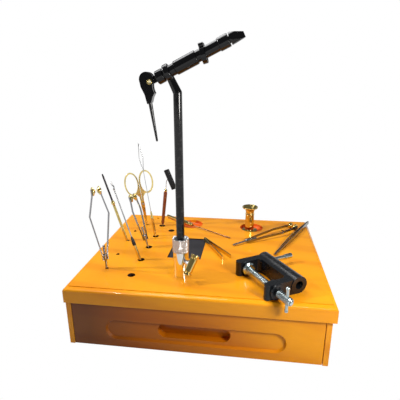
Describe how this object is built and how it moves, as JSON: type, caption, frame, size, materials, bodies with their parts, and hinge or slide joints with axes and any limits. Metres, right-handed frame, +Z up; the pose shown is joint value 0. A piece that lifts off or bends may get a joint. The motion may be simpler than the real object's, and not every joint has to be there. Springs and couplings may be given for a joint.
{
  "type": "fly tying cabinet",
  "caption": "Lacquered pine box with a drawer; its lid holds a vise on a post, hand tools in drilled holes, dishes, and a bench clamp.",
  "frame": {"origin": "on the table, under the middle of the lid", "axes": "+Z up, +X to the right, the drawer faces -Y"},
  "size_m": [0.3066, 0.2685, 0.3476],
  "materials": {
    "lacquered_pine": "glossy amber lacquer",
    "raw_pine": "plain sanded pine",
    "pad_foam": "matt dark inlay",
    "polished_chrome": "polished",
    "bright_steel": "knurled, bright",
    "tool_steel": "satin",
    "zinc_steel": "zinc plated",
    "dark_steel": "blued",
    "black_steel": "satin black",
    "black_cast_iron": "black enamel",
    "black_plastic": "matt",
    "brass": "polished",
    "gilt_steel": "gilt, polished",
    "rosewood": "lacquered"
  },
  "bodies": {
    "cabinet": {"lid_board": "lacquered_pine", "side_left": "lacquered_pine", "side_right": "lacquered_pine", "back_panel": "lacquered_pine", "base_panel": "lacquered_pine", "pad_inlay": "pad_foam", "post_tube": "polished_chrome", "post_washer": "tool_steel", "post_nut": "tool_steel"},
    "drawer": {"drawer_front": "lacquered_pine", "drawer_side_left": "raw_pine", "drawer_side_right": "raw_pine", "drawer_back": "raw_pine", "drawer_bottom": "raw_pine"},
    "collar": {"post_collar": "bright_steel"},
    "stem": {"stem": "black_steel"},
    "barrel": {"barrel_tube": "black_steel", "barrel_sleeves": "black_steel"},
    "collet": {"collet_jaws": "black_steel", "lever_pin": "brass"},
    "lever": {"cam_lever": "black_steel"},
    "clip": {"material_clip": "black_steel"},
    "post_screw": {"post_screw_shank": "bright_steel", "post_screw_bar": "brass"},
    "bobbin": {"bobbin_tube": "tool_steel", "bobbin_arms": "tool_steel", "bobbin_buttons": "brass"},
    "mini_bobbin": {"mini_bobbin_tube": "tool_steel", "mini_bobbin_arms": "tool_steel", "mini_bobbin_buttons": "brass"},
    "lying_bobbin": {"lying_bobbin_tube": "tool_steel", "lying_bobbin_arms": "tool_steel", "lying_bobbin_buttons": "brass"},
    "twister": {"twister_handle": "brass", "twister_ferrule": "black_plastic", "twister_shaft": "tool_steel"},
    "bodkin": {"bodkin_body": "brass", "bodkin_needle": "dark_steel"},
    "threader": {"threader_handle": "brass", "threader_wire": "tool_steel"},
    "hackle_pliers": {"pliers_spike": "tool_steel", "pliers_handle": "rosewood", "pliers_bead": "brass"},
    "pliers_clip": {"pliers_wire": "tool_steel", "pliers_clip": "black_steel"},
    "scissors": {"scissors_left": "gilt_steel", "scissors_screw": "tool_steel"},
    "scissors_right": {"scissors_right": "gilt_steel"},
    "whip_finisher": {"whip_handle": "brass", "whip_swivel": "brass"},
    "whip_wire": {"whip_wire": "tool_steel"},
    "brass_tweezers": {"brass_tweezers": "brass"},
    "steel_tweezers": {"steel_tweezers": "tool_steel"},
    "stacker_cup": {"stacker_cup": "brass"},
    "stacker_funnel": {"stacker_funnel": "brass"},
    "clamp": {"clamp_frame": "black_cast_iron"},
    "clamp_pad": {"clamp_pad": "zinc_steel"},
    "clamp_screw": {"clamp_screw": "zinc_steel"},
    "clamp_bar": {"clamp_bar": "zinc_steel"},
    "clamp_side_screw": {"clamp_side_screw": "zinc_steel"}
  },
  "joints": [
    {"name": "drawer_slide", "type": "slide", "parent": "cabinet", "child": "drawer", "axis": [0, -1, 0], "range_m": [0, 0.19]},
    {"name": "stem_turn", "type": "hinge", "parent": "cabinet", "child": "collar", "pos_m": [-0.0228, -0.079, 0.0775], "axis": [0, 0, 1], "continuous": true},
    {"name": "stem_height", "type": "slide", "parent": "collar", "child": "stem", "axis": [0, 0, 1], "range_m": [0, 0.03]},
    {"name": "barrel_turn", "type": "hinge", "parent": "stem", "child": "barrel", "pos_m": [-0.03262, -0.079, 0.30998], "axis": [0.8988, 0, 0.4384], "continuous": true},
    {"name": "collet_pull", "type": "slide", "parent": "barrel", "child": "collet", "axis": [0.8988, 0, 0.4384], "range_m": [-0.00075, 0.00026]},
    {"name": "lever_swing", "type": "hinge", "parent": "collet", "child": "lever", "pos_m": [-0.0514, -0.079, 0.30082], "axis": [0, 1, 0], "range_deg": [-15, 40]},
    {"name": "clip_slide", "type": "slide", "parent": "barrel", "child": "clip", "axis": [0.8988, 0, 0.4384], "range_m": [-0.004, 0.012]},
    {"name": "post_screw_turn", "type": "hinge", "parent": "cabinet", "child": "post_screw", "pos_m": [-0.00818, -0.09235, 0.098], "axis": [0.7385, -0.6743, 0], "continuous": true},
    {"name": "bobbin_lift", "type": "slide", "parent": "cabinet", "child": "bobbin", "axis": [-0.0506, 0, 0.9987], "range_m": [0, 0.05]},
    {"name": "mini_bobbin_lift", "type": "slide", "parent": "cabinet", "child": "mini_bobbin", "axis": [-0.2419, 0, 0.9703], "range_m": [0, 0.05]},
    {"name": "twister_lift", "type": "slide", "parent": "cabinet", "child": "twister", "axis": [-0.2857, 0, 0.9583], "range_m": [0, 0.05]},
    {"name": "bodkin_lift", "type": "slide", "parent": "cabinet", "child": "bodkin", "axis": [-0.289, 0, 0.9573], "range_m": [0, 0.05]},
    {"name": "threader_lift", "type": "slide", "parent": "cabinet", "child": "threader", "axis": [-0.1357, 0, 0.9907], "range_m": [0, 0.05]},
    {"name": "hackle_pliers_lift", "type": "slide", "parent": "cabinet", "child": "hackle_pliers", "axis": [0.1167, 0, 0.9932], "range_m": [0, 0.05]},
    {"name": "pliers_swivel", "type": "hinge", "parent": "hackle_pliers", "child": "pliers_clip", "pos_m": [-0.07527, 0.0762, 0.1395], "axis": [0.1167, 0, 0.9932], "continuous": true},
    {"name": "scissors_lift", "type": "slide", "parent": "cabinet", "child": "scissors", "axis": [-0.1392, 0, 0.9903], "range_m": [0, 0.11]},
    {"name": "scissors_open", "type": "hinge", "parent": "scissors", "child": "scissors_right", "pos_m": [-0.11429, 0.0778, 0.11311], "axis": [-0.4219, 0.9047, -0.0593], "range_deg": [0, 40]},
    {"name": "whip_lift", "type": "slide", "parent": "cabinet", "child": "whip_finisher", "axis": [0, 0, 1], "range_m": [0, 0.05]},
    {"name": "whip_wire_turn", "type": "hinge", "parent": "whip_finisher", "child": "whip_wire", "pos_m": [-0.0332, 0.0754, 0.0813], "axis": [0.7882, -0.6154, 0], "range_deg": [0, 180]},
    {"name": "lying_bobbin_lift", "type": "slide", "parent": "cabinet", "child": "lying_bobbin", "axis": [0, 0, 1], "range_m": [0, 0.05]},
    {"name": "brass_tweezers_lift", "type": "slide", "parent": "cabinet", "child": "brass_tweezers", "axis": [0, 0, 1], "range_m": [0, 0.05]},
    {"name": "steel_tweezers_lift", "type": "slide", "parent": "cabinet", "child": "steel_tweezers", "axis": [0, 0, 1], "range_m": [0, 0.05]},
    {"name": "stacker_cup_lift", "type": "slide", "parent": "cabinet", "child": "stacker_cup", "axis": [0, 0, 1], "range_m": [0, 0.05]},
    {"name": "funnel_lift", "type": "slide", "parent": "stacker_cup", "child": "stacker_funnel", "axis": [0, 0, 1], "range_m": [0, 0.035]},
    {"name": "clamp_lift", "type": "slide", "parent": "cabinet", "child": "clamp", "axis": [0, 0, 1], "range_m": [0, 0.05]},
    {"name": "clamp_pad_slide", "type": "slide", "parent": "clamp", "child": "clamp_pad", "axis": [0.538, -0.8429, 0], "range_m": [0, 0.04]},
    {"name": "clamp_screw_turn", "type": "hinge", "parent": "clamp_pad", "child": "clamp_screw", "pos_m": [0.057, -0.0693, 0.0865], "axis": [0.538, -0.8429, 0], "range_deg": [0, 7200]},
    {"name": "clamp_bar_slide", "type": "slide", "parent": "clamp_screw", "child": "clamp_bar", "axis": [0, 0, -1], "range_m": [-0.006, 0.006]},
    {"name": "clamp_side_screw_turn", "type": "hinge", "parent": "clamp", "child": "clamp_side_screw", "pos_m": [0.07822, -0.04864, 0.0865], "axis": [0.8429, 0.538, 0], "continuous": true}
  ],
  "couplings": [
    {"joint": "collet_pull", "follows": "lever_swing", "m_per_rad": -0.00095},
    {"joint": "scissors_open", "follows": "scissors_lift", "rad_per_m": 6.3403},
    {"joint": "clamp_screw_turn", "follows": "clamp_pad_slide", "rad_per_m": 3141.6}
  ]
}
